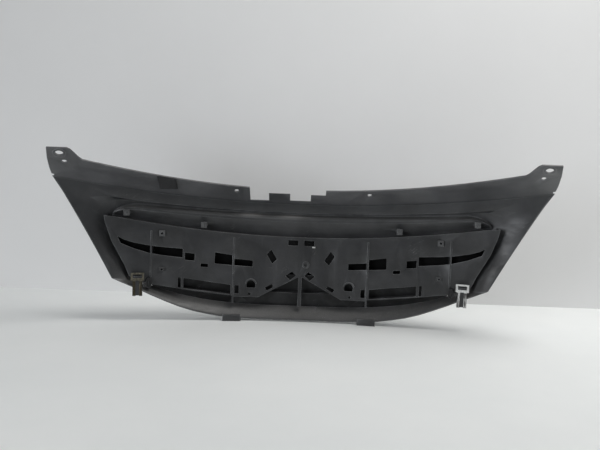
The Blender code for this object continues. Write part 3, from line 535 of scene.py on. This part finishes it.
def pad_foam():
    material, tree, shader = new_finish("pad_foam")
    coordinates = add(tree, "ShaderNodeTexCoord").outputs["Object"]
    pits = add(tree, "ShaderNodeTexVoronoi", feature="F1")
    pits.inputs["Scale"].default_value = 700
    tree.links.new(coordinates, pits.inputs["Vector"])
    depth = remap(tree, pits.outputs["Distance"], 0.1, 0.6)
    cloud = remap(tree, noise(tree, coordinates, 90, 5), 0.35, 0.7)
    colour = blend_colours(tree, depth, (0.010, 0.010, 0.011), (0.026, 0.026, 0.028))
    colour = blend_colours(tree, math_node(tree, "MULTIPLY", cloud, 0.4), colour, (0.045, 0.044, 0.043))
    tree.links.new(colour, shader.inputs["Base Color"])
    tree.links.new(remap(tree, cloud, 0, 1, 0.85, 1.0), shader.inputs["Roughness"])
    grain_bump(tree, shader, depth, 0.8, 0.0005)
    return material


STOP_RUBBER = stop_rubber()
PAD_FOAM = pad_foam()
print("soft finishes:", STOP_RUBBER.name, PAD_FOAM.name)

# %% [markdown]
# The panels: the CAD shapes of the surround, the bar, the insert and the louvres are
# right, but a CAD mesh is loose triangles with knife-sharp edges. A copy is merged,
# its flat areas are dissolved into clean faces, and a small bevel rounds each edge as
# the mould does, so that edges catch the light. The trim is plated only on its road
# side: its studs, behind the stud line, keep the grey of the raw plastic.

# %% Panels with softened edges
def softened_copy(node, width, segments=2):
    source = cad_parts[node]
    piece = bpy.data.objects.new(node + "_moulding", source.data.copy())
    bpy.context.scene.collection.objects.link(piece)
    only(piece)
    bpy.ops.object.mode_set(mode="EDIT")
    bpy.ops.mesh.select_all(action="SELECT")
    bpy.ops.mesh.remove_doubles(threshold=0.00001)
    bpy.ops.mesh.customdata_custom_splitnormals_clear()
    bpy.ops.mesh.dissolve_limited(angle_limit=math.radians(0.6))
    bpy.ops.object.mode_set(mode="OBJECT")
    soften(piece, width, segments)
    return piece


STUD_LINE = 0.0108
PANELS = [("surround_panel", 0.0005, "moulded_black", PANEL_PLASTIC),
          ("upper_bar", 0.0005, "moulded_black", BAR_PLASTIC),
          ("grille_insert", 0.0003, "moulded_black", INSERT_PLASTIC),
          ("lower_louvre", 0.0003, "louvre_black", SHADED_BLADE_PLASTIC),
          ("upper_louvre_left", 0.0003, "louvre_black", SHADED_LOUVRE_PLASTIC),
          ("upper_louvre_right", 0.0003, "louvre_black", SHADED_LOUVRE_PLASTIC),
          ("upper_trim_left", 0.0004, "bright_trim", TRIM_PLATING),
          ("upper_trim_right", 0.0004, "bright_trim", TRIM_PLATING)]
for node, width, slot, finish in PANELS:
    piece = done(softened_copy(node, width), "grille", finish, [node])
    if slot == "bright_trim":
        piece.data.materials.append(NUT_NYLON)
        for face in piece.data.polygons:
            face.material_index = int(face.center.y - sweep(face.center.x) < STUD_LINE)

# %% [markdown]
# Push nuts: a square nylon nut with a round collar is pushed over each stud. It is a
# cube with a round collar joined through it, with the bore and four gripping slits
# cut out. Each nut is a copy, moved to its stud.

# %% Push nuts
def bar_tool(location, scale):
    clear_selection()
    bpy.ops.mesh.primitive_cube_add(size=1, location=location, scale=scale)
    return started("tool")


def push_nut(name, size, thickness):
    clear_selection()
    bpy.ops.mesh.primitive_cube_add(size=1, scale=(size[0], thickness * 0.62, size[1]))
    piece = started(name)
    soften(piece, 0.0007, 3)
    clear_selection()
    bpy.ops.mesh.primitive_cylinder_add(vertices=28, radius=min(size) * 0.36, depth=thickness,
                                        rotation=(math.radians(90), 0, 0))
    collar = started("collar")
    soften(collar, 0.0005, 2)
    carve(piece, collar, "UNION")
    clear_selection()
    bpy.ops.mesh.primitive_cylinder_add(vertices=24, radius=0.00225, depth=thickness * 2,
                                        rotation=(math.radians(90), 0, 0))
    carve(piece, started("bore"))
    for turn in (45, 135):
        slit = bar_tool((0, -thickness * 0.5, 0), (0.0006, thickness * 0.5, min(size) * 0.56))
        only(slit)
        slit.rotation_euler = (0, math.radians(turn), 0)
        bpy.ops.object.transform_apply(rotation=True)
        carve(piece, slit)
    face_outwards(piece)
    return piece


SQUARE_NUT = push_nut("square_nut", (0.012, 0.012), 0.005)
FLAT_NUT = push_nut("low_nut", (0.012, 0.0084), 0.003)
for side in ("left", "right"):
    for node, pattern in (("outer_nut", SQUARE_NUT), ("inner_nut", SQUARE_NUT),
                          ("louvre_nut", SQUARE_NUT), ("flat_nut", FLAT_NUT)):
        low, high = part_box(f"{node}_{side}")
        centre = (low + high) / 2
        slope = math.atan(-2 * END_SWEEP * centre.x / HALF_WIDTH ** 2)
        nut = twin(pattern, f"{node}_{side}_body")
        nut.data.transform(Matrix.Translation(centre) @ Matrix.Rotation(slope, 4, "Z"))
        nylon = LOW_NUT_NYLON if node == "flat_nut" else NUT_NYLON
        done(nut, "grille", nylon, [f"{node}_{side}"])
bpy.data.objects.remove(SQUARE_NUT)
bpy.data.objects.remove(FLAT_NUT)

# %% [markdown]
# Spring clips: each clip is one strip of steel, folded up round the panel's tongue.
# It starts as a flat plate with a window, its two legs are extruded down, forwards
# and up again, the folds are rounded, and only then does it get its thickness, so the
# steel keeps the same gauge round every bend. Two barbs are pressed out of the legs.

# %% Spring clips
CLIP_STEEL = 0.001
TONGUE = 323.0
HEAD_TOP, HEAD_FOOT = 99.0, 83.0
CLIP_REAR, CLIP_FRONT, CLIP_FOOT, HOOK_TOP = -27.8, -23.7, 52.2, 58.5


def spring_clip(name):
    columns = [-12.5, -9, -8.5, -6.25, -3.5, 3.5, 6.25, 8.5, 9, 12.5]
    rows = [HEAD_FOOT, 88, 95.5, HEAD_TOP]
    clear_selection()
    bpy.ops.mesh.primitive_grid_add(x_subdivisions=9, y_subdivisions=3, size=2,
                                    rotation=(math.radians(90), 0, 0))
    piece = started(name)
    for vertex in piece.data.vertices:
        column = round((vertex.co.x + 1) / 2 * 9)
        row = round((vertex.co.z + 1) / 2 * 3)
        vertex.co = place(TONGUE + columns[column], CLIP_REAR, rows[row])
    middle = TONGUE * MM
    window_low, window_high = place(0, 0, 88).z, place(0, 0, 95.5).z
    pick(piece, "FACE", lambda c, n: abs(c.x - middle) < 0.0085 and window_low < c.z < window_high)
    bpy.ops.mesh.delete(type="FACE")
    foot = place(0, 0, HEAD_FOOT).z + 0.0001

    def leg_edge(a, b):
        centre = abs((a.x + b.x) / 2 - middle)
        return max(a.z, b.z) < foot and 0.0035 < centre < 0.009

    pick(piece, "EDGE", leg_edge)
    extrude((0, 0, (CLIP_FOOT - HEAD_FOOT) * MM))
    extrude((0, (CLIP_FRONT - CLIP_REAR) * MM, 0))
    extrude((0, 0, (HOOK_TOP - CLIP_FOOT) * MM))
    low = place(0, 0, CLIP_FOOT).z

    def fold(a, b):
        return max(a.z, b.z) < low + 0.0001 and abs(a.y - b.y) < 0.0001

    pick(piece, "EDGE", fold)
    bpy.ops.mesh.bevel(offset=0.0014, segments=4, affect="EDGES")
    pick(piece, "VERT", lambda co: abs(abs(co.x - middle) - 0.00625) < 0.0001 and co.z < foot - 0.001
         and co.y < CLIP_REAR * MM + 0.0005)
    push((0, -0.0011, 0))
    bpy.ops.object.mode_set(mode="OBJECT")
    wall = piece.modifiers.new("gauge", "SOLIDIFY")
    wall.thickness = CLIP_STEEL
    wall.offset = 0
    apply_all(piece)
    hook = bar_tool(place(TONGUE, CLIP_FRONT, HOOK_TOP - 2.5), (0.018, CLIP_STEEL, 0.005))
    carve(piece, hook, "UNION")
    for hand in (-1, 1):
        barb = bar_tool(place(TONGUE + hand * 8.0, CLIP_REAR - 0.2, 72), (0.0020, 0.0013, 0.006))
        pick(barb, "VERT", lambda co: co.z > place(0, 0, 73).z and co.y < -0.0279)
        push((0, 0.0006, 0))
        bpy.ops.object.mode_set(mode="OBJECT")
        carve(piece, barb, "UNION")
    soften(piece, 0.00018, 2)
    face_outwards(piece)
    return piece


RIGHT_CLIP = spring_clip("spring_clip_right_strip")
LEFT_CLIP = twin(RIGHT_CLIP, "spring_clip_left_strip", mirror=True)
done(swept(RIGHT_CLIP), "clip_right", BRIGHT_ZINC, ["spring_clip_right"])
done(swept(LEFT_CLIP), "clip_left", YELLOW_ZINC, ["spring_clip_left"])

# %% [markdown]
# Rubber stops: an oval stop with a rolled rim and a hollow in its face, which lets it
# squash. It is a cylinder made oval, its rear face inset and pushed in, with the edges
# rolled by a bevel.

# %% Rubber stops
def rubber_stop(name):
    clear_selection()
    bpy.ops.mesh.primitive_cylinder_add(vertices=36, radius=0.5, depth=1,
                                        rotation=(math.radians(90), 0, 0))
    piece = started(name)
    piece.data.transform(Matrix.Diagonal((0.012, 0.009, 0.020, 1)))
    pick(piece, "FACE", lambda c, n: n.y < -0.9)
    bpy.ops.mesh.inset(thickness=0.0024)
    extrude((0, 0.0025, 0))
    bpy.ops.mesh.inset(thickness=0.0008)
    extrude((0, -0.0012, 0))
    bpy.ops.object.mode_set(mode="OBJECT")
    soften(piece, 0.0008, 3)
    face_outwards(piece)
    return piece


STOP = rubber_stop("stop_pattern")
for side in ("left", "right"):
    low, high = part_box(f"buffer_{side}")
    centre = (low + high) / 2
    stop = twin(STOP, f"buffer_{side}_stop")
    slope = math.atan(-2 * END_SWEEP * centre.x / HALF_WIDTH ** 2)
    stop.data.transform(Matrix.Translation(centre) @ Matrix.Rotation(slope, 4, "Z"))
    done(stop, "grille", STOP_RUBBER, [f"buffer_{side}"])
bpy.data.objects.remove(STOP)

# %% [markdown]
# The foam pad is stuck flat on the flange. Its CAD block already follows the slope, so
# a copy is divided finely, its edges are rounded and a soft noise makes its surface
# slightly uneven, as cut foam is.

# %% Foam pad
def foam_block(name):
    piece = softened_copy("foam_pad", 0.0012, 3)
    piece.name = name
    piece.data.name = name
    only(piece)
    bpy.ops.object.mode_set(mode="EDIT")
    bpy.ops.mesh.select_all(action="SELECT")
    bpy.ops.mesh.quads_convert_to_tris()
    bpy.ops.mesh.subdivide(number_cuts=5)
    bpy.ops.object.mode_set(mode="OBJECT")
    texture = bpy.data.textures.new("foam_unevenness", "CLOUDS")
    texture.noise_scale = 0.006
    uneven = piece.modifiers.new("uneven", "DISPLACE")
    uneven.texture = texture
    uneven.strength = 0.0006
    uneven.mid_level = 0.8
    apply_all(piece)
    return piece


pad = done(foam_block("foam_pad_block"), "grille", PAD_FOAM, ["foam_pad"])

# %% [markdown]
# The badge: a plain domed oval on a black carrier, with legs that reach back through
# the insert. The dome is a disc whose front is inset again and again, each ring a
# little further forwards. The carrier keeps its CAD legs. Both ride on the badge's
# own body, so they come forwards together.

# %% Badge
def badge_dome(name):
    clear_selection()
    low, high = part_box("badge_face")
    centre = (low + high) / 2
    bpy.ops.mesh.primitive_cylinder_add(vertices=72, radius=0.5, depth=1,
                                        rotation=(math.radians(90), 0, 0))
    piece = started(name)
    piece.data.transform(Matrix.Translation((0, 0.0188, centre.z))
                         @ Matrix.Diagonal((0.140, 0.003, 0.112, 1)))
    pick(piece, "FACE", lambda c, n: n.y > 0.9)
    for ring, rise in ((0.0022, 0.0), (0.0012, -0.0008), (0.004, 0.0022), (0.010, 0.0019),
                       (0.014, 0.0008), (0.014, 0.0003)):
        bpy.ops.mesh.inset(thickness=ring)
        push((0, rise, 0))
    bpy.ops.object.mode_set(mode="OBJECT")
    soften(piece, 0.0004, 2, 30)
    face_outwards(piece)
    return swept(piece)


done(badge_dome("badge_face_dome"), "badge", TRIM_PLATING, ["badge_face"], 40)
# the carrier uses the nearly black louvre plastic, painted shade where it shows through the insert's
# slots
done(softened_copy("badge_carrier", 0.0005), "badge", SHADED_LOUVRE_PLASTIC,
     ["badge_carrier"])

# %% [markdown]
# The lock clip is a tiny folded steel tab beside the badge's upper leg. A cube is
# stretched to its size, its rear face is inset and raised into a bead, and its edges
# are rounded.

# %% Lock clip
def lock_tab(name):
    low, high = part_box("badge_lock_clip")
    size = high - low
    clear_selection()
    bpy.ops.mesh.primitive_cube_add(size=1, location=(low + high) / 2,
                                    scale=(size.x, size.y * 0.7, size.z))
    piece = started(name)
    pick(piece, "FACE", lambda c, n: n.y < -0.9)
    bpy.ops.mesh.inset(thickness=0.0007)
    extrude((0, -size.y * 0.15, 0))
    bpy.ops.object.mode_set(mode="OBJECT")
    soften(piece, 0.0002, 2)
    return piece


done(lock_tab("badge_lock_tab"), "grille", BRIGHT_ZINC, ["badge_lock_clip"])

# %% [markdown]
# The stage: a large pale floor under the two feet and a pale wall on the grille's road
# side. The wall would hide the grille from that side, so its back is made transparent,
# and it is seen only from the side that the grille stands on.

# %% Floor and wall
WALL_AT = 0.226


def pale_floor():
    clear_selection()
    bpy.ops.mesh.primitive_plane_add(size=12, location=(0, 0, -FOLD_HEIGHT * MM))
    floor = started("floor")
    material, tree, shader = new_finish("pale_floor")
    coordinates = add(tree, "ShaderNodeTexCoord").outputs["Object"]
    stain = remap(tree, noise(tree, coordinates, 3.0, 6, 0.6), 0.3, 0.7)
    tree.links.new(blend_colours(tree, stain, (0.78, 0.80, 0.80), (0.83, 0.845, 0.84)),
                   shader.inputs["Base Color"])
    shader.inputs["Roughness"].default_value = 0.6
    floor.data.materials.append(material)
    return floor


def pale_wall():
    """A wall seen only from the grille's side, so it never hides the road side."""
    clear_selection()
    bpy.ops.mesh.primitive_plane_add(size=12, location=(0, WALL_AT, 6 - FOLD_HEIGHT * MM),
                                     rotation=(math.radians(90), 0, 0))
    wall = started("wall")
    material, tree, shader = new_finish("pale_wall")
    coordinates = add(tree, "ShaderNodeTexCoord").outputs["Object"]
    stain = remap(tree, noise(tree, coordinates, 1.6, 6, 0.6), 0.3, 0.7)
    tree.links.new(blend_colours(tree, stain, (0.80, 0.80, 0.80), (0.84, 0.84, 0.84)),
                   shader.inputs["Base Color"])
    shader.inputs["Roughness"].default_value = 0.7
    side = add(tree, "ShaderNodeNewGeometry").outputs["Backfacing"]
    clear = add(tree, "ShaderNodeBsdfTransparent")
    choose = add(tree, "ShaderNodeMixShader")
    tree.links.new(side, choose.inputs["Fac"])
    tree.links.new(shader.outputs["BSDF"], choose.inputs[1])
    tree.links.new(clear.outputs["BSDF"], choose.inputs[2])
    tree.links.new(choose.outputs["Shader"], tree.nodes["Material Output"].inputs["Surface"])
    wall.data.materials.append(material)
    return wall


pale_floor()
print("wall normal", pale_wall().data.polygons[0].normal)

# %% [markdown]
# The lights: four square lamps that the camera can't see, over a dim pale sky. The key
# comes from the upper left and the sheen from the left, low and near the grille, where
# it catches the right wing. One lamp hangs above, and one washes down the wall. The
# spread is narrowed where a lamp should reach one part and leave the rest alone.

# %% Lights and sky
def lamp(name, location, size, watts, colour, aim=(0, 0, -0.05), spread=180):
    clear_selection()
    bpy.ops.object.light_add(type="AREA", location=location)
    light = bpy.context.object
    light.name = name
    light.data.size = size
    light.data.energy = watts
    light.data.color = colour
    light.data.spread = math.radians(spread)
    light.visible_camera = False
    light.rotation_euler = (Vector(aim) - Vector(location)).to_track_quat("-Z", "Y").to_euler()
    return light


lamp("key", (-2.4, -2.3, 1.1), 1.0, 2.8, (1.0, 0.99, 0.98), (0.9, 0.2, -0.1), 90)
lamp("sheen", (-1.4, -1.7, 0.15), 0.8, 3.6, (0.90, 0.94, 1.0), (0.35, 0, -0.05), 100)
lamp("top", (0.6, -0.6, 2.0), 1.2, 9.6, (1.0, 0.98, 0.95), (0.3, 0, 0))
lamp("wall_wash", (0.9, -0.25, 1.7), 0.8, 10, (1.0, 0.99, 0.97), (0.7, WALL_AT, 0.2), 130)
world = bpy.data.worlds.new("pale_sky")
world.use_nodes = True
world.node_tree.nodes["Background"].inputs["Color"].default_value = (0.66, 0.68, 0.69, 1)
world.node_tree.nodes["Background"].inputs["Strength"].default_value = 0.35
bpy.context.scene.world = world
bpy.context.scene.view_settings.view_transform = "Standard"

# %% [markdown]
# The camera: it stands behind the grille and a little above it, and leans slightly to
# one side, so the grille looks turned clockwise. Its three axes are worked out from the
# tilt and the roll, and written as the columns of a matrix.

# %% Camera
LOOK_AT = Vector((-0.004, -0.016, -0.040))
DISTANCE = 1.6
TILT = math.radians(6)
ROLL = math.radians(2.1)
SENSOR_WIDTH, FOCAL_LENGTH = 36, 46.94
back = Vector((0, -math.cos(TILT), math.sin(TILT)))
level_up = Vector((0, math.sin(TILT), math.cos(TILT)))
right = Vector((math.cos(ROLL), 0, 0)) + level_up * math.sin(ROLL)
up = back.cross(right)
clear_selection()
bpy.ops.object.camera_add(location=LOOK_AT + back * DISTANCE)
camera = bpy.context.object
camera.rotation_euler = Matrix((right, up, back)).transposed().to_euler()
camera.data.sensor_width = SENSOR_WIDTH
camera.data.lens = FOCAL_LENGTH
bpy.context.scene.camera = camera
print("camera at", [round(c, 3) for c in camera.location])
